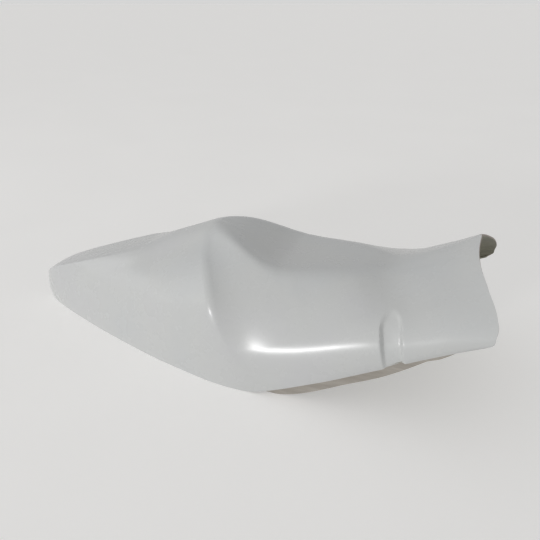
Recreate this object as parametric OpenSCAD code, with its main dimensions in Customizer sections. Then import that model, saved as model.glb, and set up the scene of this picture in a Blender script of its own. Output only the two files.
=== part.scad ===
// Racing seat unit: a seat and tail moulded as one thin shell, open underneath and at the front.
// X runs forward, Y to the left and Z up. The edge of the tail rests on Z = 0.

/* [Lengths] */
// Tail tip to the top of the backrest
tail_len = 405; // [370:1:440]
// Top of the backrest to the top of the front rim
seat_len = 452; // [410:1:500]
// Tail tip to the corners of the backrest
corner_x = 454; // [442:1:470]
// Tail tip to the hips, where the crest meets the floor
hip_x = 534; // [510:1:555]
// How far the corners of the front rim stand forward of its top
side_lead = 36; // [15:1:50]
// How far the lower ends of the front rim stand forward of its top
heel_lead = 24; // [5:1:35]

/* [Heights] */
// Height where the tail's tip turns over
tip_h = 40; // [30:1:50]
// How far the tip bulges back under that height
tip_bulge = 4; // [0:0.5:8]
// Top of the backrest
crest_h = 228; // [210:1:250]
// Corners of the backrest
corner_h = 148; // [130:1:165]
// Lowest place of the seat's middle
seat_h = 186; // [176:1:194]
// Top of the front rim
front_h = 260.5; // [240:0.5:280]
// Lower ends of the front rim
heel_h = 155; // [135:1:170]

/* [Widths] */
// Width over the hips
hip_w = 356; // [330:2:390]
// Width between the corners of the backrest
corner_w = 304; // [280:2:324]
// Width over the front rim
front_w = 318; // [290:2:340]
// Width of the flat deck on the tail
deck_w = 88; // [60:1:104]
// Greatest width of the level strip along the middle of the seat
pan_w = 166; // [140:1:172]
// How far the middle of the deck stands over its edges
deck_crown = 1; // [0:0.5:3]

/* [Crest] */
// Run of the rounding at the top of the crest
crest_run = 10; // [6:1:16]
// Run of the rounding where the crest meets the floor
hip_run = 34; // [18:1:44]

/* [Laminate] */
// Thickness of the moulded wall
wall = 3; // [2:0.5:4.5]

/* [Lower lip] */
// How far the lip stands back inside the side panel
lip_setback = 8; // [6:0.5:12]
// Greatest depth of the lip under the panel
lip_depth = 20; // [8:1:24]
// Start of the lip, from the tail's tip
lip_start = 545; // [540:1:570]
// Length of the lip, which fades into the panel towards the front rim
lip_len = 304; // [240:1:320]
// Length over which the lip's setback fades out, behind the lip's end
lip_fade = 44; // [30:1:110]

/* [Side recess] */
// Middle of the recess's round top, from the tail's tip
recess_x = 748; // [730:1:765]
// How far the recess leans forward on its way down to the panel's edge
recess_lean = 14; // [0:1:25]
// Width of the recess near its rounded top
recess_w = 36; // [28:1:44]
// Width of the recess at the panel's edge
recess_foot_w = 35; // [30:1:46]
// Height of the recess's top
recess_top = 170; // [160:1:176]
// Greatest depth of the recess
recess_depth = 9; // [4:0.5:12]
// Run of the recess's drafted walls
recess_draft = 6; // [4:0.5:9]

/* [Hidden] */
shell_color = [0.90, 0.92, 0.91];

// How far the tip leans back between its upper end and the floor
tip_foot = 3;
front_x = tail_len + seat_len;
corner_y = corner_w / 2;
hip_y = hip_w / 2;
front_y = front_w / 2;
shell_len = front_x + side_lead;

// Columns of one half, from the middle of the section down to its edge
DECK_COLS = 3;
ROOF_COLS = 9;
SIDE_COLS = 8;
TUCK_COLS = 4;
RIDGE_COL = DECK_COLS;
CREASE_COL = RIDGE_COL + ROOF_COLS;
WIDE_COL = CREASE_COL + SIDE_COLS;
EDGE_COL = WIDE_COL + TUCK_COLS;

// Columns that gather round the top of the side recess
GATHER_FROM = 10;
GATHER_TO = 16;

// Stations from the tip forward
TAIL_STATIONS = 17;
CREST_STATIONS = 3;
SEAT_STATIONS = 11;
FRONT_STATIONS = 7;

function lerp(a, b, t) = a + (b - a) * t;
function clamp(t) = max(0, min(1, t));
function ease(a, b, x) = let (t = clamp((x - a) / (b - a))) t * t * (3 - 2 * t);
function unit(v) = v / norm(v);
function flat(lists) = [for (l = lists) each l];

// Smooth curve through knots [place, value], where a value is a number or a vector
function knot_slope(k, i) =
    i == 0 ? (k[1][1] - k[0][1]) / (k[1][0] - k[0][0])
    : i == len(k) - 1 ? (k[i][1] - k[i - 1][1]) / (k[i][0] - k[i - 1][0])
    : let (before = k[i][0] - k[i - 1][0], after = k[i + 1][0] - k[i][0])
      ((k[i][1] - k[i - 1][1]) / before * after + (k[i + 1][1] - k[i][1]) / after * before)
      / (before + after);
function knot_span(k, x, i = 0) = i >= len(k) - 2 || x < k[i + 1][0] ? i : knot_span(k, x, i + 1);
function smooth(k, x) =
    let (
        i = knot_span(k, x),
        run = k[i + 1][0] - k[i][0],
        t = clamp((x - k[i][0]) / run),
        s = t * t * (3 - 2 * t)
    )
    lerp(k[i][1], k[i + 1][1], s)
    + run * (knot_slope(k, i) * t * (1 - t) * (1 - t) - knot_slope(k, i + 1) * t * t * (1 - t));

// Knots placed by the share of the length walked along a list of points
function walked(p, i = 0, sum = 0) =
    i == len(p) - 1 ? [sum] : concat([sum], walked(p, i + 1, sum + norm(p[i + 1] - p[i])));
function by_length(p) = let (w = walked(p), all = w[len(w) - 1]) [for (i = [0:len(p) - 1]) [w[i] / all, p[i]]];

// Tail lines, as [share of length, [share of half width, share of height]].
// The knots stand at the root of the length, because the tip is round in plan.
function tail_knots(shape) = [for (s = shape) [sqrt(s[0]), s[1]]];
TOP = tail_knots([
    [0, 0], [0.015, 0.09], [0.054, 0.178], [0.116, 0.251], [0.235, 0.353], [0.39, 0.474],
    [0.56, 0.60], [0.654, 0.671], [0.723, 0.737], [0.815, 0.829], [0.938, 0.937], [1, 0.99]
]);
RIDGE = tail_knots([
    [0, 0], [0.015, 0.27], [0.054, 0.50], [0.116, 0.69], [0.235, 0.89], [0.39, 0.95], [0.56, 1],
    [0.622, 0.955], [0.672, 0.75], [0.723, 0.45], [0.815, 0.16], [0.9, 0.08], [1, 0.07]
]);
CREASE = tail_knots([
    [0, [0, 0.135]], [0.013, [0.075, 0.16]], [0.062, [0.165, 0.19]], [0.137, [0.253, 0.243]],
    [0.264, [0.368, 0.37]], [0.396, [0.487, 0.486]], [0.5, [0.582, 0.56]], [0.617, [0.69, 0.655]],
    [0.762, [0.835, 0.79]], [1, [1, 1]]
]);
FLOOR_LINE = tail_knots([
    [0, 0], [0.0056, 0.052], [0.047, 0.15], [0.109, 0.244], [0.22, 0.385], [0.32, 0.503],
    [0.41, 0.60], [0.497, 0.688], [0.576, 0.764], [0.652, 0.831], [0.723, 0.885], [0.79, 0.932],
    [0.853, 0.972], [0.915, 0.995], [1, 1]
]);

// Crest line over the backrest, from its top to the corner and from the corner to the floor
CREST_TOP = [
    [0, 0, 0], [-0.12, 0.20, 0.12], [0.06, 0.38, 0.28], [0.245, 0.56, 0.42], [0.57, 0.757, 0.59],
    [0.8, 0.888, 0.78], [1, 1, 1]
];
CREST_SIDE = [
    [0.11, 0.365, 0.176], [0.21, 0.56, 0.345], [0.35, 0.71, 0.486], [0.49, 0.81, 0.615],
    [0.69, 0.92, 0.757], [0.875, 0.99, 0.885], [1, 1, 1]
];
crest_points = concat(
    [for (p = CREST_TOP) [lerp(tail_len, corner_x, p.x), corner_y * p.y, lerp(crest_h, corner_h, p.z)]],
    [for (p = CREST_SIDE) [lerp(corner_x, hip_x, p.x), lerp(corner_y, hip_y, p.y), corner_h * (1 - p.z)]]
);
CREST = by_length(crest_points);
CREST_RIDGE_SHARE = 0.012;
CREST_CORNER_SHARE = CREST[len(CREST_TOP) - 1][0];
// Share of the crest's side stretch where the widest line of the seat starts
CREST_WIDE_SHARE = 0.66;

// Front rim from its top to its lower end, as shares of lead, half width and height
RIM_SHAPE = [
    [0, 0, 0], [-0.05, 0.176, 0.104], [0.04, 0.36, 0.2085], [0.44, 0.635, 0.379],
    [0.89, 0.868, 0.597], [1, 0.956, 0.725], [0.97, 0.994, 0.82]
];
// The lower ends stand in from the full width by this share
HEEL_SHARE = 0.984;
RIM_END = [[0.83, 1, 0.915], [0, HEEL_SHARE, 1]];
rim_points = concat(
    [for (p = RIM_SHAPE) [front_x + side_lead * p.x, front_y * p.y, lerp(front_h, heel_h, p.z)]],
    [for (p = RIM_END) [front_x + lerp(heel_lead, side_lead, p.x), front_y * p.y, lerp(front_h, heel_h, p.z)]]
);
RIM = by_length(rim_points);
RIM_WIDE_SHARE = RIM[len(RIM_SHAPE)][0];

// Lines of the seat, by share of its length
LOW_SHARE = 0.316;
SADDLE_FALL = [
    [0, 1], [0.033, 0.95], [0.066, 0.875], [0.1, 0.785], [0.133, 0.675], [0.166, 0.54], [0.21, 0.34],
    [0.254, 0.15], [LOW_SHARE, 0]
];
SADDLE_RISE = [
    [LOW_SHARE, 0], [0.387, 0.015], [0.431, 0.032], [0.476, 0.052], [0.564, 0.088], [0.653, 0.114],
    [0.697, 0.12], [0.741, 0.17], [0.785, 0.272], [0.83, 0.4], [0.874, 0.54], [0.918, 0.69], [1, 1]
];
// Half width of the level strip
PAN = [
    [0, 0.06], [0.022, 0.14], [0.055, 0.3], [0.089, 0.45], [0.122, 0.58], [0.156, 0.695], [0.2, 0.82],
    [0.244, 0.925], [0.289, 0.985], [0.333, 1], [0.378, 0.965], [0.467, 0.88], [0.555, 0.75],
    [0.6, 0.655], [0.644, 0.5], [0.689, 0.34], [0.733, 0.215], [0.778, 0.15], [0.822, 0.135],
    [1, 0.12]
];
// Shoulder where the side of the seat turns down into the panel: its height, and the run of its rounding
SHOULDER = [
    [0, 0.284], [0.11, 0.316], [0.2, 0.4], [0.284, 0.497], [0.388, 0.632], [0.48, 0.761],
    [0.576, 0.884], [0.667, 0.974], [0.754, 1.052], [0.837, 1.142], [1, 1.258]
];
SHOULDER_RUN = [[0, 0.124], [0.2, 0.14], [0.4, 0.18], [0.6, 0.236], [0.8, 0.292], [1, 0.337]];
WIDEST = [
    [0, [0, 0.194]], [0.11, [0.09, 0.2]], [0.2, [0.14, 0.258]], [0.284, [0.2, 0.335]],
    [0.388, [0.31, 0.439]], [0.48, [0.41, 0.542]], [0.576, [0.54, 0.652]], [0.667, [0.68, 0.742]],
    [0.754, [0.79, 0.826]], [0.837, [0.9, 0.916]], [1, [1, 1.058]]
];
EDGE = [
    [0, [0, 0]], [0.12, [0.17, 0.088]], [0.26, [0.31, 0.217]], [0.37, [0.44, 0.322]],
    [0.47, [0.56, 0.428]], [0.6, [0.7, 0.57]], [0.76, [0.84, 0.75]], [0.93, [0.96, 0.93]], [1, [1, 1]]
];

function spine_z(share) = lerp(tip_h, crest_h, smooth(TOP, share));
function tail_lines(g) =
    let (
        r = sqrt(g),
        ridge = smooth(RIDGE, r),
        crease = smooth(CREASE, r),
        top = spine_z(r)
    )
    [
        [tail_len * g, 0, top],
        [tail_len * g, deck_w / 2 * ridge, top - deck_crown * clamp(ridge * 2)],
        [lerp(-tip_bulge, corner_x, g), corner_y * crease[0], corner_h * crease[1]],
        [lerp(tip_foot, hip_x, g), hip_y * smooth(FLOOR_LINE, r), 0]
    ];
TAIL_END = tail_lines(1);
STRIP_SHARES = [0, CREST_RIDGE_SHARE, CREST_CORNER_SHARE, 1];
// A point of the strip between two tail lines. It bulges towards the crest's own curve as it nears it.
function strip_point(lines, g, strip, s) =
    let (on_crest = smooth(CREST, lerp(STRIP_SHARES[strip], STRIP_SHARES[strip + 1], s)))
    lerp(lines[strip], lines[strip + 1], s)
    + (on_crest - lerp(TAIL_END[strip], TAIL_END[strip + 1], s)) * pow(g, 1.6);
// The tail lines are rounded over by taking in the surface on both sides of them
function rounded(lines, g, strip, before, after) =
    (strip_point(lines, g, strip, 1 - before) + 2 * lines_end(lines, g, strip) + strip_point(lines, g, strip + 1, after)) / 4;
function lines_end(lines, g, strip) = strip_point(lines, g, strip, 1);
function side_share(i) = i <= SIDE_COLS ? CREST_WIDE_SHARE * i / SIDE_COLS : lerp(CREST_WIDE_SHARE, 1, (i - SIDE_COLS) / TUCK_COLS);
function tail_point(g, j) =
    let (lines = tail_lines(g))
    j < RIDGE_COL ? strip_point(lines, g, 0, 0.95 * j / DECK_COLS)
    : j == RIDGE_COL ? rounded(lines, g, 0, 0.15, 0.05)
    : j < CREASE_COL ? strip_point(lines, g, 1, (j - RIDGE_COL) / ROOF_COLS)
    : j == CREASE_COL ? rounded(lines, g, 1, 0.25, 0.25)
    : strip_point(lines, g, 2, side_share(j - CREASE_COL));

crest_ring = [for (j = [0:EDGE_COL]) tail_point(1, j)];
rim_ring = [for (j = [0:EDGE_COL]) smooth(RIM, j <= WIDE_COL ? RIM_WIDE_SHARE * j / WIDE_COL : lerp(RIM_WIDE_SHARE, 1, (j - WIDE_COL) / TUCK_COLS))];
crest_walk = walked([for (j = [0:WIDE_COL]) crest_ring[j]]);

// Section of the seat at a share of its length, as [half width, height] for each column
function saddle_z(v) = v < LOW_SHARE ? lerp(seat_h, crest_h, smooth(SADDLE_FALL, v)) : lerp(seat_h, front_h, smooth(SADDLE_RISE, v));
function wide_at(v) = let (p = smooth(WIDEST, v)) [lerp(crest_ring[WIDE_COL].y, front_y, p[0]), heel_h * p[1]];
function edge_at(v) = let (p = smooth(EDGE, v)) [lerp(hip_y, front_y * HEEL_SHARE, p[0]), heel_h * p[1]];
// A corner rounded by a curve that starts and ends these lengths away from it
ROUND_STEPS = 6;
function round_corner(before, corner, after, run_in, run_out) =
    let (a = corner + unit(before - corner) * run_in, b = corner + unit(after - corner) * run_out)
    [for (i = [0:ROUND_STEPS]) let (t = i / ROUND_STEPS) (1 - t) * (1 - t) * a + 2 * t * (1 - t) * corner + t * t * b];
// Run of the rounding along both edges of the level strip
PAN_ROUND = 18;
// Section from the middle to the widest line: level strip, sloping side, shoulder
function roof_curve(v) =
    let (
        mid = [0, saddle_z(v)],
        pan = [pan_w / 2 * smooth(PAN, v), saddle_z(v)],
        wide = wide_at(v),
        shoulder = [wide.x, heel_h * smooth(SHOULDER, v)],
        pan_run = min(0.8 * pan.x, PAN_ROUND),
        from_pan = round_corner(mid, pan, shoulder, pan_run, pan_run),
        to_wide = round_corner(pan, shoulder, wide, hip_y * smooth(SHOULDER_RUN, v), shoulder.y - wide.y)
    )
    by_length(concat([mid], from_pan, [(from_pan[ROUND_STEPS] + to_wide[0]) / 2], to_wide));
function tuck_point(v, t) =
    let (wide = wide_at(v), edge = edge_at(v), knee = wide + [0, (edge.y - wide.y) / 2])
    (1 - t) * (1 - t) * wide + 2 * t * (1 - t) * knee + t * t * edge;
// Columns leave the crest as they meet it, spread evenly, and gather round the recess's top
function share_at_height(roof, z) = lookup(z, [for (i = [len(roof) - 1:-1:0]) [roof[i][1].y, roof[i][0]]]);
recess_v = (recess_x - corner_x) / (front_x + side_lead - corner_x);
recess_roof = roof_curve(recess_v);
gathered = [
    [0, 0],
    [GATHER_FROM, share_at_height(recess_roof, recess_top + recess_draft / 2)],
    [GATHER_TO, share_at_height(recess_roof, recess_top - recess_w / 2 - recess_draft / 2)],
    [WIDE_COL, 1]
];
function column_share(v, j) =
    let (spread = lerp(crest_walk[j] / crest_walk[WIDE_COL], j / WIDE_COL, ease(0, 0.3, v)))
    lerp(spread, lookup(j, gathered), ease(0.3, 0.6, v) * (1 - ease(0.88, 1, v)));
function section(v) =
    let (roof = roof_curve(v))
    [for (j = [0:EDGE_COL]) j <= WIDE_COL ? smooth(roof, column_share(v, j)) : tuck_point(v, (j - WIDE_COL) / TUCK_COLS)];
FIRST_SECTION = section(0);
LAST_SECTION = section(1);
// The seat leaves the crest and reaches the front rim along their own curves
function seat_point(cut, v, j) =
    let (
        a = crest_ring[j],
        b = rim_ring[j],
        off_crest = [a.y, a.z] - FIRST_SECTION[j],
        off_rim = [b.y, b.z] - LAST_SECTION[j],
        yz = cut[j] + off_crest * pow(1 - v, 6) + off_rim * pow(v, 8)
    )
    [lerp(a.x, b.x, v), yz[0], yz[1]];

// Share of the tail and the seat that the crest's rounding takes, for each column
function run_at(j) = lerp(crest_run, hip_run, pow(j / EDGE_COL, 2));
tip_row = [for (j = [0:EDGE_COL]) let (down = j / EDGE_COL) [tip_foot * down * down - tip_bulge * sin(180 * pow(down, 0.8)), 0, tip_h * (1 - down)]];
tail_rows = concat(
    [tip_row],
    [for (i = [1:TAIL_STATIONS]) let (g = pow(i / TAIL_STATIONS, 1.5))
        [for (j = [0:EDGE_COL]) tail_point(g * (1 - run_at(j) / hip_x), j)]]
);

// Half width of the recess where a column crosses it. Above its round top the stations close up.
recess_foot = heel_h * smooth(EDGE, (recess_x - hip_x) / (front_x + heel_lead - hip_x))[1];
recess_round_z = recess_top - recess_w / 2;
function recess_down(z) = clamp((recess_top - z) / (recess_top - recess_foot));
function recess_mid(z) = recess_x + recess_lean * clamp((recess_round_z - z) / (recess_round_z - recess_foot));
function recess_half(z) =
    z < recess_round_z ? lerp(recess_w, recess_foot_w, recess_down(z)) / 2
    : let (up = min(0.9, (z - recess_round_z) / (recess_w / 2))) recess_w / 2 * sqrt(1 - up * up);
function share_at_x(x, j) = (x - crest_ring[j].x) / (rim_ring[j].x - crest_ring[j].x);
recess_heights = [for (j = [0:EDGE_COL]) let (v = share_at_x(recess_x, j)) seat_point(section(v), v, j).z];
// Stations across the recess: before it, on both drafted walls and on its floor, from its middle
function recess_offsets(half) =
    let (floor_half = half - min(half * 0.6, recess_draft))
    [for (s = [-1.35, -1, -2 / 3, -1 / 3, 0]) s < -1 ? half * s : lerp(-floor_half, -half, -s)];
function recess_xs(j) =
    let (mid = recess_mid(recess_heights[j]), side = recess_offsets(recess_half(recess_heights[j])))
    concat([for (x = side) mid + x], [mid], [for (i = [len(side) - 1:-1:0]) mid - side[i]]);
recess_xs_all = [for (j = [0:EDGE_COL]) recess_xs(j)];
RECESS_STATIONS = len(recess_xs_all[0]);
// Next to the crest each column keeps clear of the stretch that its rounding takes
function seat_shares(j) =
    let (
        xs = recess_xs_all[j],
        from = share_at_x(xs[0], j),
        to = share_at_x(xs[RECESS_STATIONS - 1], j),
        start = run_at(j) / seat_len
    )
    concat(
        [for (i = [0:SEAT_STATIONS - 1]) lerp(start, from, i / SEAT_STATIONS)],
        [for (x = xs) share_at_x(x, j)],
        [for (i = [1:FRONT_STATIONS]) lerp(to, 1, i / FRONT_STATIONS)]
    );
column_shares = [for (j = [0:EDGE_COL]) seat_shares(j)];
seat_rows = [for (i = [0:len(column_shares[0]) - 1])
    [for (j = [0:EDGE_COL]) let (v = column_shares[j][i]) seat_point(section(v), v, j)]];
crest_rows = [for (i = [1:CREST_STATIONS]) let (t = i / (CREST_STATIONS + 1))
    [for (j = [0:EDGE_COL])
        (1 - t) * (1 - t) * tail_rows[TAIL_STATIONS][j] + 2 * t * (1 - t) * crest_ring[j] + t * t * seat_rows[0][j]]];
smooth_rows = concat(tail_rows, crest_rows, seat_rows);
LAST_ROW = len(smooth_rows) - 1;

// Outward normal of one half of the shell, from the neighbours of each point
function mirrored(p) = [p.x, -p.y, p.z];
function row_normals(rows, i) =
    let (
        here = rows[i],
        back = rows[max(0, i - 1)],
        ahead = rows[min(LAST_ROW, i + 1)]
    )
    [for (j = [0:EDGE_COL])
        let (
            above = j > 0 ? here[j - 1] : i == 0 ? ahead[0] : mirrored(here[1]),
            across = here[min(EDGE_COL, j + 1)] - above,
            along = ahead[j] - back[j],
            n = i == 0 ? [across.z, 0, -across.x] : cross(along, across)
        )
        unit(j == 0 && i > 0 ? [n.x, 0, n.z] : n)
    ];

// Depth of the side recess: a pocket with a round top, drafted walls and a floor in two slopes
RECESS_FLOOR = [[0, 0.2], [0.15, 0.6], [0.3, 0.95], [0.5, 1], [0.75, 0.72], [1, 0.3]];
function recess_at(p) =
    let (
        inside = p.z > recess_round_z
            ? recess_w / 2 - norm([p.x - recess_x, p.z - recess_round_z])
            : recess_half(p.z) - abs(p.x - recess_mid(p.z))
    )
    recess_depth * ease(0, recess_draft, inside) * smooth(RECESS_FLOOR, recess_down(p.z));
outer_rows = [for (i = [0:LAST_ROW])
    let (normals = row_normals(smooth_rows, i))
    [for (j = [0:EDGE_COL])
        let (p = smooth_rows[i][j])
        p - normals[j] * recess_at(p)]];

// Lip under the panel's edge: a joggle in the wall, as shares of its depth along its length
LIP_DROP = [
    [0, 0], [0.05, 0.32], [0.11, 0.72], [0.19, 0.98], [0.45, 1], [0.7, 0.98], [0.81, 0.7],
    [0.88, 0.43], [0.94, 0.19], [1, 0]
];
lip_end = lip_start + lip_len;
function lip_hang(x) = ease(lip_start, lip_start + 2 * lip_setback, x) * (1 - ease(lip_end - 2 * lip_setback, lip_end, x));
function lip_in(x) = 1 - ease(lip_end - lip_fade, lip_end - lip_fade / 2, x);
function lip_drop(x) = lip_depth * smooth(LIP_DROP, clamp((x - lip_start) / lip_len));
// Least step between the panel and a flush lip
FLUSH_STEP = 0.4;

// Points of one half of a row: outer wall, edge with its lip, inner wall back to the middle
function half_row(i) =
    let (
        outer = outer_rows[i],
        normals = row_normals(outer_rows, i),
        edge = outer[EDGE_COL],
        n = normals[EDGE_COL],
        inward = -unit([n.x, n.y, 0]),
        hang = lip_hang(edge.x),
        step = lerp(FLUSH_STEP, lip_setback, lip_in(edge.x)),
        drop = [0, 0, -lip_drop(edge.x)]
    )
    concat(
        outer,
        [
            edge + inward * lerp(wall / 3, step, hang),
            edge + inward * lerp(wall * 2 / 3, step, hang) + drop,
            edge + inward * lerp(wall, step + wall, hang) + drop,
            edge + inward * lerp(wall, step + wall, hang) + [0, 0, wall / 2 * (1 + hang * lip_in(edge.x))],
            edge + inward * wall + [0, 0, wall]
        ],
        [for (j = [EDGE_COL - 1:-1:0]) outer[j] - normals[j] * wall]
    );
half_rows = [for (i = [0:LAST_ROW]) half_row(i)];
HALF = len(half_rows[0]) - 1;

// A full row runs down one side, back along its inner wall to the middle, and round the other side.
// The tip's row lies on the middle plane, so both sides share its points.
ROW = 2 * HALF;
shell_points = concat(
    half_rows[0],
    flat([for (i = [1:LAST_ROW]) concat(half_rows[i], [for (k = [1:HALF - 1]) mirrored(half_rows[i][k])])])
);
function near_index(i, k) = i == 0 ? k : HALF + 1 + (i - 1) * ROW + k;
function far_index(i, k) = i == 0 || k == 0 || k == HALF ? near_index(i, k) : near_index(i, HALF + k);
function wall_faces(a, b, c, d) = [[a, b, c], [a, c, d]];
function wall_faces_back(a, b, c, d) = [[c, b, a], [d, c, a]];
// Each cell is split from the corner nearer the middle of the section, on the inner wall too
near_faces = flat([for (i = [0:LAST_ROW - 1], k = [0:HALF - 1])
    k <= EDGE_COL
        ? wall_faces(near_index(i, k), near_index(i, k + 1), near_index(i + 1, k + 1), near_index(i + 1, k))
        : wall_faces(near_index(i, k + 1), near_index(i + 1, k + 1), near_index(i + 1, k), near_index(i, k))]);
far_faces = flat([for (i = [0:LAST_ROW - 1], k = [0:HALF - 1])
    k <= EDGE_COL
        ? wall_faces_back(far_index(i, k), far_index(i, k + 1), far_index(i + 1, k + 1), far_index(i + 1, k))
        : wall_faces_back(far_index(i, k + 1), far_index(i + 1, k + 1), far_index(i + 1, k), far_index(i, k))]);
// The front rim is closed between the outer and the inner wall, and fanned at its lower ends
near_rim = flat([for (j = [0:EDGE_COL - 2])
    wall_faces(near_index(LAST_ROW, j), near_index(LAST_ROW, j + 1), near_index(LAST_ROW, HALF - j - 1), near_index(LAST_ROW, HALF - j))]);
far_rim = flat([for (j = [0:EDGE_COL - 2])
    wall_faces_back(far_index(LAST_ROW, j), far_index(LAST_ROW, j + 1), far_index(LAST_ROW, HALF - j - 1), far_index(LAST_ROW, HALF - j))]);
near_ends = [for (k = [EDGE_COL:HALF - EDGE_COL])
    [near_index(LAST_ROW, EDGE_COL - 1), near_index(LAST_ROW, k), near_index(LAST_ROW, k + 1)]];
far_ends = [for (k = [EDGE_COL:HALF - EDGE_COL])
    [far_index(LAST_ROW, k + 1), far_index(LAST_ROW, k), far_index(LAST_ROW, EDGE_COL - 1)]];

module seat_shell() {
    color(shell_color)
    translate([(tip_bulge - shell_len) / 2, 0, 0])
    polyhedron(points = shell_points, faces = concat(near_faces, far_faces, near_rim, far_rim, near_ends, far_ends));
}

seat_shell();
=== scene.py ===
import math

import bpy
import numpy as np
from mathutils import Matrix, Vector


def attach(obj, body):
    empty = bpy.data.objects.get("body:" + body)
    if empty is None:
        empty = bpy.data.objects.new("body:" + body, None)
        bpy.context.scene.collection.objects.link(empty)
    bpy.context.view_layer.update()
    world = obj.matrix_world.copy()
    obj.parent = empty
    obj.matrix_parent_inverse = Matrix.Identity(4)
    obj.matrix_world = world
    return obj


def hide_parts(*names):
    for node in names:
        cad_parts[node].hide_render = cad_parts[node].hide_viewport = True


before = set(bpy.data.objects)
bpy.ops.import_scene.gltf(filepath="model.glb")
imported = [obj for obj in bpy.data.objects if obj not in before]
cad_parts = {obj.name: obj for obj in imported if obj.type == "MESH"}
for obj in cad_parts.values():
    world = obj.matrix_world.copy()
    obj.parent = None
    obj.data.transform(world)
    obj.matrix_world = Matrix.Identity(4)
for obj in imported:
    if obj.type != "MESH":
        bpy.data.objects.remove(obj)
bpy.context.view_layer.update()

# Lengths of the shell in millimetres, from the tail's tip
TAIL_LEN = 405
SEAT_LEN = 452
CORNER_X = 454
HIP_X = 534
SIDE_LEAD = 36
HEEL_LEAD = 24
TIP_H = 40
TIP_BULGE = 4
TIP_FOOT = 3
CREST_H = 228
CORNER_H = 148
SEAT_H = 186
FRONT_H = 260.5
HEEL_H = 155
HIP_Y = 356 / 2
CORNER_Y = 304 / 2
FRONT_Y = 318 / 2
DECK_Y = 88 / 2
PAN_Y = 166 / 2
DECK_CROWN = 1
# The skin's crest is a little crisper than the solid's, whose two runs are 10 and 34
CREST_RUN = 9
HIP_RUN = 21
WALL = 3
LIP_SETBACK = 8
LIP_DEPTH = 20
LIP_START = 545
LIP_LEN = 304
LIP_FADE = 44
RECESS_X = 748
RECESS_LEAN = 14
RECESS_W = 36
RECESS_FOOT_W = 35
RECESS_TOP = 170
RECESS_DEPTH = 9
RECESS_DRAFT = 6
FRONT_X = TAIL_LEN + SEAT_LEN
MIDDLE_X = (FRONT_X + SIDE_LEAD - TIP_BULGE) / 2
MIRROR = np.array([1, -1, 1])

# Columns of one half, in the units of the coarse model, and how finely each is divided
RIDGE_COL = 3
CREASE_COL = 12
WIDE_COL = 20
EDGE_COL = 24
FINE = 4


def lerp(a, b, t):
    return a + (b - a) * t


def clamp(t):
    return np.clip(t, 0, 1)


def ease(a, b, x):
    t = clamp((x - a) / (b - a))
    return t * t * (3 - 2 * t)


def smooth(knots, x):
    """Smooth curve through knots [place, value], evaluated at every x."""
    places = np.array([k[0] for k in knots], float)
    values = np.array([np.atleast_1d(k[1]) for k in knots], float)
    x = np.asarray(x, float)
    run = np.diff(places)
    rise = np.diff(values, axis=0) / run[:, None]
    slope = np.empty_like(values)
    slope[0] = rise[0]
    slope[-1] = rise[-1]
    slope[1:-1] = (rise[:-1] * run[1:, None] + rise[1:] * run[:-1, None]) / (run[:-1] + run[1:])[:, None]
    i = np.clip(np.searchsorted(places, x, side="right") - 1, 0, len(run) - 1)
    t = clamp((x - places[i]) / run[i])[..., None]
    bend = run[i][..., None] * (slope[i] * t * (1 - t) ** 2 - slope[i + 1] * t * t * (1 - t))
    return lerp(values[i], values[i + 1], t * t * (3 - 2 * t)) + bend


def line(knots, x):
    return smooth(knots, x)[..., 0]


def walked(points):
    steps = np.linalg.norm(np.diff(np.asarray(points, float), axis=0), axis=1)
    return np.concatenate([[0], np.cumsum(steps)])


def by_length(points):
    walk = walked(points)
    return [[w / walk[-1], p] for w, p in zip(walk, points)]


def tail_knots(shape):
    return [[math.sqrt(s[0]), s[1]] for s in shape]


# Lines along the tail: each knot is a share of its length, then shares of full height or width
TOP = tail_knots([
    [0, 0], [0.015, 0.09], [0.054, 0.178], [0.116, 0.251], [0.235, 0.353], [0.39, 0.474],
    [0.56, 0.60], [0.654, 0.671], [0.723, 0.737], [0.815, 0.829], [0.938, 0.937], [1, 0.99],
])
RIDGE = tail_knots([
    [0, 0], [0.015, 0.27], [0.054, 0.50], [0.116, 0.69], [0.235, 0.89], [0.39, 0.95], [0.56, 1],
    [0.622, 0.955], [0.672, 0.75], [0.723, 0.45], [0.815, 0.16], [0.9, 0.08], [1, 0.07],
])
CREASE = tail_knots([
    [0, [0, 0.135]], [0.013, [0.075, 0.16]], [0.062, [0.165, 0.19]], [0.137, [0.253, 0.243]],
    [0.264, [0.368, 0.37]], [0.396, [0.487, 0.486]], [0.5, [0.582, 0.56]], [0.617, [0.69, 0.655]],
    [0.762, [0.835, 0.79]], [1, [1, 1]],
])
FLOOR_LINE = tail_knots([
    [0, 0], [0.0056, 0.052], [0.047, 0.15], [0.109, 0.244], [0.22, 0.385], [0.32, 0.503],
    [0.41, 0.60], [0.497, 0.688], [0.576, 0.764], [0.652, 0.831], [0.723, 0.885], [0.79, 0.932],
    [0.853, 0.972], [0.915, 0.995], [1, 1],
])
# The crest in shares of its own reach, from the middle out to the corner and on down to the hip
CREST_TOP = [
    [0, 0, 0], [-0.12, 0.20, 0.12], [0.06, 0.38, 0.28], [0.245, 0.56, 0.42],
    [0.57, 0.757, 0.59], [0.8, 0.888, 0.78], [1, 1, 1],
]
CREST_SIDE = [
    [0.11, 0.365, 0.176], [0.21, 0.56, 0.345], [0.35, 0.71, 0.486], [0.49, 0.81, 0.615],
    [0.69, 0.92, 0.757], [0.875, 0.99, 0.885], [1, 1, 1],
]
CREST = by_length(
    [[lerp(TAIL_LEN, CORNER_X, x), CORNER_Y * y, lerp(CREST_H, CORNER_H, z)] for x, y, z in CREST_TOP]
    + [[lerp(CORNER_X, HIP_X, x), lerp(CORNER_Y, HIP_Y, y), CORNER_H * (1 - z)] for x, y, z in CREST_SIDE]
)
CREST_RIDGE_SHARE = 0.012
CREST_CORNER_SHARE = CREST[len(CREST_TOP) - 1][0]
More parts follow.
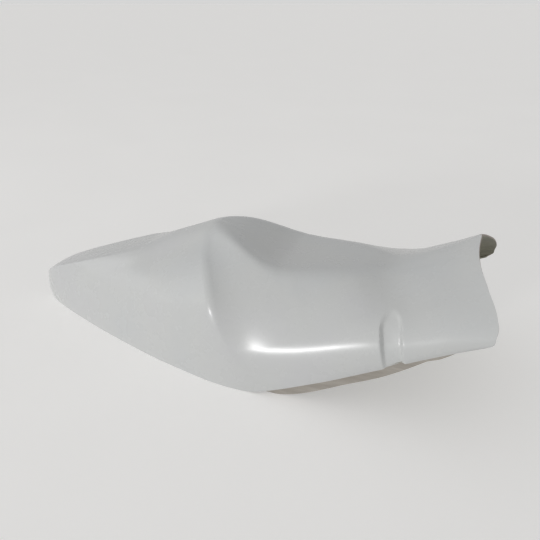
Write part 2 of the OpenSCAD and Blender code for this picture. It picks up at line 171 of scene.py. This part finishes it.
CREST_WIDE_SHARE = 0.66
# The front rim in shares, from its top out and down to the heel
RIM_SHAPE = [
    [0, 0, 0], [-0.05, 0.176, 0.104], [0.04, 0.36, 0.2085], [0.44, 0.635, 0.379],
    [0.89, 0.868, 0.597], [1, 0.956, 0.725], [0.97, 0.994, 0.82],
]
HEEL_SHARE = 0.984
RIM_END = [[0.83, 1, 0.915], [0, HEEL_SHARE, 1]]
RIM = by_length(
    [[FRONT_X + SIDE_LEAD * x, FRONT_Y * y, lerp(FRONT_H, HEEL_H, z)] for x, y, z in RIM_SHAPE]
    + [
        [FRONT_X + lerp(HEEL_LEAD, SIDE_LEAD, x), FRONT_Y * y, lerp(FRONT_H, HEEL_H, z)]
        for x, y, z in RIM_END
    ]
)
RIM_WIDE_SHARE = RIM[len(RIM_SHAPE)][0]
LOW_SHARE = 0.316
# Lines along the seat: each knot starts with a share of the way from crest to rim
SADDLE_FALL = [
    [0, 1], [0.033, 0.95], [0.066, 0.875], [0.1, 0.785], [0.133, 0.675], [0.166, 0.54], [0.21, 0.34],
    [0.254, 0.15], [LOW_SHARE, 0],
]
SADDLE_RISE = [
    [LOW_SHARE, 0], [0.387, 0.015], [0.431, 0.032], [0.476, 0.052], [0.564, 0.088], [0.653, 0.114],
    [0.697, 0.12], [0.741, 0.17], [0.785, 0.272], [0.83, 0.4], [0.874, 0.54], [0.918, 0.69], [1, 1],
]
PAN = [
    [0, 0.06], [0.022, 0.14], [0.055, 0.3], [0.089, 0.45], [0.122, 0.58], [0.156, 0.695], [0.2, 0.82],
    [0.244, 0.925], [0.289, 0.985], [0.333, 1], [0.378, 0.965], [0.467, 0.88], [0.555, 0.75],
    [0.6, 0.655], [0.644, 0.5], [0.689, 0.34], [0.733, 0.215], [0.778, 0.15], [0.822, 0.135], [1, 0.12],
]
SHOULDER = [
    [0, 0.284], [0.11, 0.316], [0.2, 0.4], [0.284, 0.497], [0.388, 0.632], [0.48, 0.761],
    [0.576, 0.884], [0.667, 0.974], [0.754, 1.052], [0.837, 1.142], [1, 1.258],
]
SHOULDER_RUN = [[0, 0.124], [0.2, 0.14], [0.4, 0.18], [0.6, 0.236], [0.8, 0.292], [1, 0.337]]
WIDEST = [
    [0, [0, 0.194]], [0.11, [0.09, 0.2]], [0.2, [0.14, 0.258]], [0.284, [0.2, 0.335]], [0.388, [0.31, 0.439]],
    [0.48, [0.41, 0.542]], [0.576, [0.54, 0.652]], [0.667, [0.68, 0.742]], [0.754, [0.79, 0.826]],
    [0.837, [0.9, 0.916]], [1, [1, 1.058]],
]
EDGE = [
    [0, [0, 0]], [0.12, [0.17, 0.088]], [0.26, [0.31, 0.217]], [0.37, [0.44, 0.322]], [0.47, [0.56, 0.428]],
    [0.6, [0.7, 0.57]], [0.76, [0.84, 0.75]], [0.93, [0.96, 0.93]], [1, [1, 1]],
]
PAN_ROUND = 18
PAN_ROUND_SHARE = 0.8

# How late along the tail its sections take on the crest's curve
BULGE_POWER = 1.6
# Columns over which the tail's lines are averaged: few at the ridge, more at the crease
REACH_LEAST = 0.5
REACH_MORE = 2.2
REACH_GROWS = (6.5, 10.5)
REACH_FADES = (14, 18.5)
TAPS = 13
TAP_WIDTH = 0.92
# Rows of points along the shell, closer together at the tip and across the recess
TAIL_ROWS = 54
TAIL_ROW_POWER = 1.5
CREST_ROWS = 10
ROWS_BEHIND = 40
ROWS_AT_POCKET = 46
ROWS_AHEAD = 24
POCKET_BEHIND = 32
POCKET_AHEAD = 44
TIP_BULGE_POWER = 0.8
CORNER_POINTS = 15
# Shares of the seat's length where its columns spread, gather for the recess and spread again
SPREAD_END = 0.3
GATHER_END = 0.6
RELEASE_START = 0.88
# How quickly the fit to the crest and to the rim dies away along the seat
CREST_FIT_POWER = 6
RIM_FIT_POWER = 8


def tail_lines(g):
    r = np.sqrt(g)
    ridge = line(RIDGE, r)
    crease = smooth(CREASE, r)
    top = lerp(TIP_H, CREST_H, line(TOP, r))
    nothing = np.zeros_like(g)
    return [
        np.stack([TAIL_LEN * g, nothing, top], -1),
        np.stack([TAIL_LEN * g, DECK_Y * ridge, top - DECK_CROWN * clamp(ridge * 2)], -1),
        np.stack([lerp(-TIP_BULGE, CORNER_X, g), CORNER_Y * crease[..., 0], CORNER_H * crease[..., 1]], -1),
        np.stack([lerp(TIP_FOOT, HIP_X, g), HIP_Y * line(FLOOR_LINE, r), nothing], -1),
    ]


TAIL_END = tail_lines(np.ones(1))
STRIP_COLS = [0, RIDGE_COL, CREASE_COL, EDGE_COL]
STRIP_SHARES = [0, CREST_RIDGE_SHARE, CREST_CORNER_SHARE, 1]


def strip_share(strip, u):
    share = (u - STRIP_COLS[strip]) / (STRIP_COLS[strip + 1] - STRIP_COLS[strip])
    if strip < 2:
        return clamp(share)
    side = (u - CREASE_COL) / (WIDE_COL - CREASE_COL)
    tuck = (u - WIDE_COL) / (EDGE_COL - WIDE_COL)
    return clamp(np.where(u <= WIDE_COL, CREST_WIDE_SHARE * side, lerp(CREST_WIDE_SHARE, 1, tuck)))


def tail_raw(g, u):
    lines = tail_lines(g)
    out = np.zeros(g.shape + (3,))
    for strip in range(3):
        s = strip_share(strip, u)[..., None]
        on_crest = smooth(CREST, lerp(STRIP_SHARES[strip], STRIP_SHARES[strip + 1], s[..., 0]))
        bulge = (on_crest - lerp(TAIL_END[strip], TAIL_END[strip + 1], s)) * g[..., None] ** BULGE_POWER
        point = lerp(lines[strip], lines[strip + 1], s) + bulge
        inside = (u >= STRIP_COLS[strip]) & (u <= STRIP_COLS[strip + 1])
        out[inside] = point[inside]
    return out


def tail_surface(g, u):
    """Points of the tail, its lines rounded over by averaging across the columns."""
    reach = REACH_LEAST + REACH_MORE * ease(*REACH_GROWS, u) * (1 - ease(*REACH_FADES, u))
    reach = np.minimum(reach, EDGE_COL - u)
    total = np.zeros(g.shape + (3,))
    weights = 0.0
    for tap in np.linspace(-1, 1, TAPS):
        weight = 1 + math.cos(math.pi * tap * TAP_WIDTH)
        place = u + tap * reach
        point = tail_raw(g, np.abs(place))
        point[..., 1] *= np.where(place < 0, -1, 1)
        total += weight * point
        weights += weight
    return total / weights


U = np.arange(EDGE_COL * FINE + 1) / FINE
CREST_RING = tail_surface(np.ones_like(U), U)
TUCK = (U - WIDE_COL) / (EDGE_COL - WIDE_COL)
RIM_SHARES = np.where(U <= WIDE_COL, RIM_WIDE_SHARE * U / WIDE_COL, lerp(RIM_WIDE_SHARE, 1, TUCK))
RIM_RING = smooth(RIM, RIM_SHARES)
WIDE = WIDE_COL * FINE
CREST_WALK = walked(CREST_RING[: WIDE + 1])


def round_corner(before, corner, after, run_in, run_out):
    a = corner + (before - corner) / np.linalg.norm(before - corner) * run_in
    b = corner + (after - corner) / np.linalg.norm(after - corner) * run_out
    t = np.linspace(0, 1, CORNER_POINTS)[:, None]
    return (1 - t) ** 2 * a + 2 * t * (1 - t) * corner + t * t * b


def roof_curve(v):
    """Section from the middle to the widest line: level strip, sloping side, shoulder."""
    if v < LOW_SHARE:
        level = lerp(SEAT_H, CREST_H, line(SADDLE_FALL, v))
    else:
        level = lerp(SEAT_H, FRONT_H, line(SADDLE_RISE, v))
    mid = np.array([0.0, level])
    pan = np.array([PAN_Y * line(PAN, v), level])
    wide = wide_at(v)
    shoulder = np.array([wide[0], HEEL_H * line(SHOULDER, v)])
    pan_run = min(PAN_ROUND_SHARE * pan[0], PAN_ROUND)
    from_pan = round_corner(mid, pan, shoulder, pan_run, pan_run)
    to_wide = round_corner(pan, shoulder, wide, HIP_Y * line(SHOULDER_RUN, v), shoulder[1] - wide[1])
    face = lerp(from_pan[-1], to_wide[0], np.array([[0.25], [0.5], [0.75]]))
    return np.concatenate([[mid], from_pan, face, to_wide])


def wide_at(v):
    p = smooth(WIDEST, v)
    return np.array([lerp(CREST_RING[WIDE][1], FRONT_Y, p[0]), HEEL_H * p[1]])


def edge_at(v):
    p = smooth(EDGE, v)
    return np.array([lerp(HIP_Y, FRONT_Y * HEEL_SHARE, p[0]), HEEL_H * p[1]])


def share_at_height(curve, z):
    walk = walked(curve) / walked(curve)[-1]
    return np.interp(-z, -curve[:, 1], walk)


recess_curve = roof_curve((RECESS_X - CORNER_X) / (FRONT_X + SIDE_LEAD - CORNER_X))
GATHER_COLS = [0, 10, 16, WIDE_COL]
GATHER_SHARES = [
    0,
    share_at_height(recess_curve, RECESS_TOP + RECESS_DRAFT / 2),
    share_at_height(recess_curve, RECESS_TOP - RECESS_W / 2 - RECESS_DRAFT / 2),
    1,
]


def section(v):
    """Half width and height of the seat for every column, at a share of its length."""
    curve = roof_curve(v)
    walk = walked(curve)
    spread = lerp(CREST_WALK / CREST_WALK[-1], U[: WIDE + 1] / WIDE_COL, ease(0, SPREAD_END, v))
    gathered = np.interp(U[: WIDE + 1], GATHER_COLS, GATHER_SHARES)
    gather = ease(SPREAD_END, GATHER_END, v) * (1 - ease(RELEASE_START, 1, v))
    shares = lerp(spread, gathered, gather)
    roof = smooth([[w / walk[-1], p] for w, p in zip(walk, curve)], shares)
    wide = wide_at(v)
    edge = edge_at(v)
    knee = wide + np.array([0, (edge[1] - wide[1]) / 2])
    t = TUCK[WIDE + 1 :, None]
    return np.concatenate([roof, (1 - t) ** 2 * wide + 2 * t * (1 - t) * knee + t * t * edge])


SECTION_STEPS = 200
SECTIONS = np.array([section(k / SECTION_STEPS) for k in range(SECTION_STEPS + 1)])


def seat_surface(v):
    """Points of the seat, with one share of its length for every column."""
    place = clamp(v) * SECTION_STEPS
    k = np.minimum(place.astype(int), SECTION_STEPS - 1)
    t = (place - k)[:, None]
    col = np.arange(len(U))
    yz = lerp(SECTIONS[k, col], SECTIONS[k + 1, col], t)
    yz = yz + (CREST_RING[:, 1:] - SECTIONS[0]) * ((1 - v) ** CREST_FIT_POWER)[:, None]
    yz = yz + (RIM_RING[:, 1:] - SECTIONS[-1]) * (v**RIM_FIT_POWER)[:, None]
    x = lerp(CREST_RING[:, 0], RIM_RING[:, 0], v)
    return np.concatenate([x[:, None], yz], axis=1)


def build_rows():
    """Rows of the smooth outer surface, from the tail's tip forward to the front rim."""
    run = lerp(CREST_RUN, HIP_RUN, (U / EDGE_COL) ** 2)
    down = U / EDGE_COL
    tip_x = TIP_FOOT * down**2 - TIP_BULGE * np.sin(np.pi * down**TIP_BULGE_POWER)
    rows = [np.stack([tip_x, np.zeros_like(U), TIP_H * (1 - down)], -1)]
    for i in range(1, TAIL_ROWS + 1):
        g = (i / TAIL_ROWS) ** TAIL_ROW_POWER
        rows.append(tail_surface(g * (1 - run / HIP_X), U))
    span = RIM_RING[:, 0] - CREST_RING[:, 0]
    pocket_from = (RECESS_X - POCKET_BEHIND - CREST_RING[:, 0]) / span
    pocket_to = (RECESS_X + POCKET_AHEAD - CREST_RING[:, 0]) / span
    start = run / SEAT_LEN
    shares = [lerp(start, pocket_from, i / ROWS_BEHIND) for i in range(ROWS_BEHIND)]
    shares += [lerp(pocket_from, pocket_to, i / ROWS_AT_POCKET) for i in range(ROWS_AT_POCKET)]
    shares += [lerp(pocket_to, 1.0, i / ROWS_AHEAD) for i in range(ROWS_AHEAD + 1)]
    seat = [seat_surface(v) for v in shares]
    back, ahead = rows[-1], seat[0]
    for i in range(1, CREST_ROWS):
        t = i / CREST_ROWS
        rows.append((1 - t) ** 2 * back + 2 * t * (1 - t) * CREST_RING + t * t * ahead)
    return np.array(rows + seat)


def row_normals(rows):
    """Outward normals of one half of the shell."""
    mirror = rows[:, 1:2] * MIRROR
    wide = np.concatenate([mirror, rows, rows[:, -1:] * 2 - rows[:, -2:-1]], axis=1)
    across = wide[:, 2:] - wide[:, :-2]
    along = np.empty_like(rows)
    along[1:-1] = rows[2:] - rows[:-2]
    along[0] = rows[1] - rows[0]
    along[-1] = rows[-1] - rows[-2]
    n = np.cross(along, across)
    n[0] = np.stack([across[0, :, 2], np.zeros(len(U)), -across[0, :, 0]], -1)
    n[0, 0] = n[0, 1]
    n[:, 0, 1] = 0
    return n / np.linalg.norm(n, axis=-1, keepdims=True)


RECESS_ROUND_Z = RECESS_TOP - RECESS_W / 2
RECESS_FOOT = HEEL_H * smooth(EDGE, (RECESS_X - HIP_X) / (FRONT_X + HEEL_LEAD - HIP_X))[1]
RECESS_FLOOR = [[0, 0.2], [0.15, 0.6], [0.3, 0.95], [0.5, 1], [0.75, 0.72], [1, 0.3]]


def recess_at(points, grow=0.0):
    """Depth of the pocket in the side panel: round top, drafted walls and a floor in two slopes."""
    x, z = points[..., 0], points[..., 2]
    down = clamp((RECESS_TOP - z) / (RECESS_TOP - RECESS_FOOT))
    mid = RECESS_X + RECESS_LEAN * clamp((RECESS_ROUND_Z - z) / (RECESS_ROUND_Z - RECESS_FOOT))
    half = lerp(RECESS_W, RECESS_FOOT_W, down) / 2
    above = RECESS_W / 2 - np.hypot(x - RECESS_X, z - RECESS_ROUND_Z)
    inside = np.where(z > RECESS_ROUND_Z, above, half - np.abs(x - mid))
    return RECESS_DEPTH * ease(-grow, RECESS_DRAFT, inside) * line(RECESS_FLOOR, down)


LIP_DROP = [
    [0, 0], [0.05, 0.32], [0.11, 0.72], [0.19, 0.98], [0.45, 1],
    [0.7, 0.98], [0.81, 0.7], [0.88, 0.43], [0.94, 0.19], [1, 0],
]
LIP_END = LIP_START + LIP_LEN
# How far in the lip still stands where it has faded out
FLUSH_STEP = 0.4


def build_half():
    """One half of the shell as rows of points: outer wall, lip, inner wall back to the middle."""
    base = build_rows()
    normals = row_normals(base)
    outer = base - normals * recess_at(base)[..., None]
    inner = base - normals * (WALL + recess_at(base, WALL))[..., None]
    # The lip runs straight on behind the recess
    edge = base[:, -1]
    x = edge[:, 0]
    flat = normals[:, -1] * np.array([1, 1, 0])
    inward = -flat / np.linalg.norm(flat, axis=1, keepdims=True)
    hang = ease(LIP_START, LIP_START + 2 * LIP_SETBACK, x) * (1 - ease(LIP_END - 2 * LIP_SETBACK, LIP_END, x))
    stand = 1 - ease(LIP_END - LIP_FADE, LIP_END - LIP_FADE / 2, x)
    step = lerp(FLUSH_STEP, LIP_SETBACK, stand)
    drop = LIP_DEPTH * line(LIP_DROP, clamp((x - LIP_START) / LIP_LEN))
    up = np.array([0, 0, 1.0])

    def at(share, rise):
        aside = np.broadcast_to(share, x.shape)[:, None]
        above = np.broadcast_to(rise, x.shape)[:, None]
        return edge + inward * aside + up * above

    lip = [
        at(lerp(WALL / 3, step, hang), 0),
        at(lerp(WALL * 2 / 3, step, hang), -drop),
        at(lerp(WALL, step + WALL, hang), -drop),
        at(lerp(WALL, step + WALL, hang), WALL / 2 * (1 + hang * stand)),
        at(WALL, WALL),
    ]
    return np.concatenate([outer, np.stack(lip, 1), inner[:, -2::-1]], axis=1)


# Keeps the finer skin just inside the coarse solid's box
INSIDE = np.array([0.9999, 0.9989, 1])
GELCOAT, LAMINATE, TRIM, LIP = 0, 1, 2, 3
SHARP_DEGREES = 38


def wall_look(k, edge):
    """Material of the strip of faces that starts at column k."""
    if k <= edge:
        return GELCOAT
    # The lip's faces take the material with painted shade and painted reflection
    if k == edge + 1:
        return LIP
    if k == edge + 2:
        return TRIM
    return LAMINATE


def shell_mesh():
    half = build_half()
    rows, cols = half.shape[:2]
    last = cols - 1
    edge = EDGE_COL * FINE
    points = []
    index = np.zeros((2, rows, cols), int)
    for i in range(rows):
        for k in range(cols):
            index[0, i, k] = len(points)
            points.append(half[i, k])
        for k in range(cols):
            if i == 0 or k in (0, last):
                index[1, i, k] = index[0, i, k]
            else:
                index[1, i, k] = len(points)
                points.append(half[i, k] * MIRROR)
    faces = []
    looks = []
    for side in range(2):
        at = index[side]
        for i in range(rows - 1):
            for k in range(last):
                quad = [at[i, k], at[i, k + 1], at[i + 1, k + 1], at[i + 1, k]]
                faces.append(quad if side else quad[::-1])
                looks.append(wall_look(k, edge))
        for k in range(edge - 1):
            quad = [at[-1, k], at[-1, k + 1], at[-1, last - k - 1], at[-1, last - k]]
            faces.append(quad if side else quad[::-1])
            looks.append(TRIM)
        for k in range(edge, last - edge + 1):
            fan = [at[-1, edge - 1], at[-1, k], at[-1, k + 1]]
            faces.append(fan if side else fan[::-1])
            looks.append(TRIM)
    metres = (np.array(points) - np.array([MIDDLE_X, 0, 0])) * INSIDE / 1000
    mesh = bpy.data.meshes.new("seat_shell_skin")
    loops = [[int(i) for i in dict.fromkeys(f)] for f in faces]
    mesh.from_pydata([tuple(p) for p in metres], [], loops)
    mesh.polygons.foreach_set("material_index", looks)
    mesh.polygons.foreach_set("use_smooth", [True] * len(looks))
    mesh.validate()
    mesh.update()
    mesh.set_sharp_from_angle(angle=math.radians(SHARP_DEGREES))
    return mesh


def new_material(name):
    material = bpy.data.materials.new(name)
    material.use_nodes = True
    tree = material.node_tree
    shader = tree.nodes["Principled BSDF"]
    return material, tree, shader


def add(tree, kind, inputs=None, **settings):
    node = tree.nodes.new(kind)
    for name, value in settings.items():
        setattr(node, name, value)
    for name, value in (inputs or {}).items():
        if isinstance(value, bpy.types.NodeSocket):
            tree.links.new(value, node.inputs[name])
        else:
            node.inputs[name].default_value = value
    return node


def mapped(tree, scale=(1, 1, 1), place=(0, 0, 0), turn=(0, 0, 0)):
    coords = add(tree, "ShaderNodeTexCoord")
    inputs = {"Vector": coords.outputs["Object"], "Location": place, "Rotation": turn, "Scale": scale}
    return add(tree, "ShaderNodeMapping", inputs).outputs["Vector"]


def noise(tree, vector, scale, detail=2.0, roughness=0.5):
    inputs = {"Vector": vector, "Scale": scale, "Detail": detail, "Roughness": roughness}
    return add(tree, "ShaderNodeTexNoise", inputs).outputs["Fac"]


def remap(tree, value, low, high, to_low, to_high):
    inputs = {"Value": value, "From Min": low, "From Max": high, "To Min": to_low, "To Max": to_high}
    return add(tree, "ShaderNodeMapRange", inputs).outputs["Result"]


def ramp(tree, value, stops):
    node = add(tree, "ShaderNodeValToRGB", {"Fac": value})
    elements = node.color_ramp.elements
    while len(elements) < len(stops):
        elements.new(0.5)
    for element, (place, colour) in zip(elements, stops):
        element.position = place
        element.color = (*colour, 1)
    return node.outputs["Color"]


def mix(tree, share, a, b):
    node = add(tree, "ShaderNodeMix", data_type="RGBA")
    for name, value in (("Factor", share), ("A", a), ("B", b)):
        socket = [s for s in node.inputs if s.name == name and (s.type == "RGBA" or name == "Factor")][0]
        if isinstance(value, bpy.types.NodeSocket):
            tree.links.new(value, socket)
        else:
            socket.default_value = value if name == "Factor" else (*value, 1)
    return [s for s in node.outputs if s.type == "RGBA"][0]


def largest(tree, a, b):
    return add(tree, "ShaderNodeMath", {0: a, 1: b}, operation="MAXIMUM").outputs[0]


def bump(tree, height, strength, distance):
    return add(tree, "ShaderNodeBump", {"Height": height, "Strength": strength, "Distance": distance})


def seen_directly(tree):
    """1 for rays from the camera and in reflections, 0 for the light that falls on the shell."""
    path = add(tree, "ShaderNodeLightPath")
    return largest(tree, path.outputs["Is Camera Ray"], path.outputs["Is Glossy Ray"])


def gelcoat_material():
    material, tree, shader = new_material("gelcoat")
    whole = mapped(tree)
    cloud = noise(tree, whole, 7.0, 3.0)
    whites = [(0.3, (0.745, 0.76, 0.76)), (0.5, (0.765, 0.775, 0.765)), (0.72, (0.755, 0.76, 0.765))]
    tint = ramp(tree, cloud, whites)
    streaks = noise(tree, mapped(tree, (4, 22, 30)), 1.0, 2.0, 0.5)
    tint = mix(tree, remap(tree, streaks, 0.48, 0.8, 0.0, 0.04), tint, (0.6, 0.61, 0.6))
    tree.links.new(tint, shader.inputs["Base Color"])
    gloss = noise(tree, whole, 22.0, 4.0, 0.6)
    tree.links.new(remap(tree, gloss, 0.3, 0.7, 0.24, 0.30), shader.inputs["Roughness"])
    wave = noise(tree, whole, 16.0, 1.0)
    ripple = noise(tree, whole, 95.0, 2.0)
    big = bump(tree, wave, 0.10, 0.004)
    fine = bump(tree, ripple, 0.015, 0.0005)
    tree.links.new(big.outputs["Normal"], fine.inputs["Normal"])
    tree.links.new(fine.outputs["Normal"], shader.inputs["Normal"])
    shader.inputs["Specular IOR Level"].default_value = 0.38
    shader.inputs["Coat Weight"].default_value = 0.12
    shader.inputs["Coat Roughness"].default_value = 0.18
    return material


def laminate_material():
    material, tree, shader = new_material("raw_laminate")
    whole = mapped(tree)
    strands = None
    for angle, seed in ((0.3, 3.0), (1.2, 11.0), (2.2, 23.0), (2.9, 37.0)):
        turn = (angle * 0.6, angle * 0.4, angle)
        vector = mapped(tree, (55, 620, 620), (seed, seed * 0.7, seed * 0.3), turn)
        layer = remap(tree, noise(tree, vector, 1.0, 2.0), 0.5, 0.68, 0.0, 1.0)
        strands = layer if strands is None else largest(tree, strands, layer)
    cloud = noise(tree, whole, 14.0, 4.0, 0.6)
    resins = [(0.3, (0.25, 0.245, 0.18)), (0.55, (0.34, 0.33, 0.25)), (0.75, (0.43, 0.415, 0.32))]
    resin = ramp(tree, cloud, resins)
    colour = mix(tree, remap(tree, strands, 0.0, 1.0, 0.0, 0.55), resin, (0.56, 0.55, 0.45))
    tree.links.new(colour, shader.inputs["Base Color"])
    tree.links.new(remap(tree, strands, 0.0, 1.0, 0.3, 0.6), shader.inputs["Roughness"])
    weave = bump(tree, strands, 0.5, 0.0008)
    tree.links.new(weave.outputs["Normal"], shader.inputs["Normal"])
    return material


def trim_material():
    material, tree, shader = new_material("trimmed_edge")
    whole = mapped(tree)
    grain = noise(tree, whole, 420.0, 3.0, 0.7)
    browns = [(0.3, (0.42, 0.37, 0.32)), (0.6, (0.58, 0.52, 0.47)), (0.8, (0.70, 0.66, 0.62))]
    colour = ramp(tree, grain, browns)
    tree.links.new(colour, shader.inputs["Base Color"])
    tree.links.new(remap(tree, grain, 0.3, 0.7, 0.6, 0.85), shader.inputs["Roughness"])
    rough = bump(tree, grain, 0.6, 0.0006)
    tree.links.new(rough.outputs["Normal"], shader.inputs["Normal"])
    return material


def lip_material():
    """The lip under the panel's edge: its beige is painted shade and a painted brown floor reflection,
    mottled by noise.
    """
    material, tree, shader = new_material("shaded_lip")
    whole = mapped(tree)
    lip_shade_mottle = noise(tree, mapped(tree, (18, 18, 130)), 1.0, 4.0, 0.6)
    # Painted shade and painted brown reflection: the lip is coloured darker beige than the gelcoat
    painted_shade_beiges = [(0.3, (0.40, 0.365, 0.32)), (0.55, (0.49, 0.455, 0.405)), (0.75, (0.57, 0.535, 0.485))]
    colour = ramp(tree, lip_shade_mottle, painted_shade_beiges)
    tree.links.new(colour, shader.inputs["Base Color"])
    grain = noise(tree, whole, 300.0, 3.0, 0.6)
    tree.links.new(remap(tree, grain, 0.3, 0.7, 0.42, 0.62), shader.inputs["Roughness"])
    rough = bump(tree, grain, 0.4, 0.0005)
    tree.links.new(rough.outputs["Normal"], shader.inputs["Normal"])
    return material


# Only the camera and reflections see the floor's glow and the backdrop, so both show pale
FLOOR_GLOW = 0.36
BACKDROP = 0.8
# The light that falls on the shell from all around
WORLD_LIGHT = 0.46
WORLD_GREY = 0.84


def floor_material():
    material, tree, shader = new_material("studio_floor")
    whole = mapped(tree)
    cloud = noise(tree, whole, 3.0, 3.0)
    pales = [(0.35, (0.70, 0.695, 0.685)), (0.65, (0.72, 0.715, 0.705))]
    tree.links.new(ramp(tree, cloud, pales), shader.inputs["Base Color"])
    shader.inputs["Roughness"].default_value = 0.75
    glow = add(tree, "ShaderNodeMath", {0: seen_directly(tree), 1: FLOOR_GLOW}, operation="MULTIPLY")
    tree.links.new(glow.outputs[0], shader.inputs["Emission Strength"])
    shader.inputs["Emission Color"].default_value = (1, 0.99, 0.975, 1)
    return material


# Camera of the photograph, found from the shell's own lines: its place is in millimetres
CAMERA_PLACE = (809.7, -866.4, 607.5)
CAMERA_AIM = (-0.29376, 0.84119, -0.45399)
SENSOR_MM = 36
FOCAL_PX = 560
FRAME_PX = 540
lens = bpy.data.cameras.new("camera")
lens.sensor_width = SENSOR_MM
lens.lens = SENSOR_MM * FOCAL_PX / FRAME_PX
lens.clip_start = 0.05
lens.clip_end = 20
camera = bpy.data.objects.new("camera", lens)
camera.location = (Vector(CAMERA_PLACE) - Vector((MIDDLE_X, 0, 0))) / 1000
camera.rotation_mode = "QUATERNION"
camera.rotation_quaternion = Vector(CAMERA_AIM).to_track_quat("-Z", "Y")
bpy.context.scene.collection.objects.link(camera)
bpy.context.scene.camera = camera

shell = bpy.data.objects.new("seat_shell_skin", shell_mesh())
bpy.context.scene.collection.objects.link(shell)
for look in (gelcoat_material(), laminate_material(), trim_material(), lip_material()):
    shell.data.materials.append(look)
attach(shell, "root")
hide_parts("seat_shell")

FLOOR_SIZE = 90
FLOOR_BACK = 30
bpy.ops.mesh.primitive_plane_add(size=FLOOR_SIZE, location=(0, FLOOR_BACK, 0))
floor = bpy.context.object
floor.name = "studio_floor"
floor.data.materials.append(floor_material())


def area_light(name, place, aim, width, power):
    data = bpy.data.lights.new(name, "AREA")
    data.shape = "DISK"
    data.size = width
    data.energy = power
    lamp = bpy.data.objects.new(name, data)
    lamp.location = place
    lamp.rotation_mode = "QUATERNION"
    lamp.rotation_quaternion = (Vector(aim) - Vector(place)).to_track_quat("-Z", "Y")
    bpy.context.scene.collection.objects.link(lamp)


# Name, place and point aimed at in metres, width in metres, power in watts
LAMPS = [
    ("key", (-2.05, -5.68, 1.04), (0.0, 0.0, 0.1), 0.55, 98),
    ("overhead", (0.0, 0.3, 2.4), (0.0, 0.0, 0.0), 2.0, 0.8),
    ("side", (-2.4, -1.2, 1.0), (0.0, 0.0, 0.1), 1.7, 5),
]
for values in LAMPS:
    area_light(*values)

world = bpy.data.worlds.new("studio")
world.use_nodes = True
sky_tree = world.node_tree
sky = sky_tree.nodes["Background"]
sky.inputs["Color"].default_value = (WORLD_GREY, WORLD_GREY, WORLD_GREY, 1)
strength = remap(sky_tree, seen_directly(sky_tree), 0.0, 1.0, WORLD_LIGHT, BACKDROP)
sky_tree.links.new(strength, sky.inputs["Strength"])
bpy.context.scene.world = world
bpy.context.scene.view_settings.view_transform = "Standard"
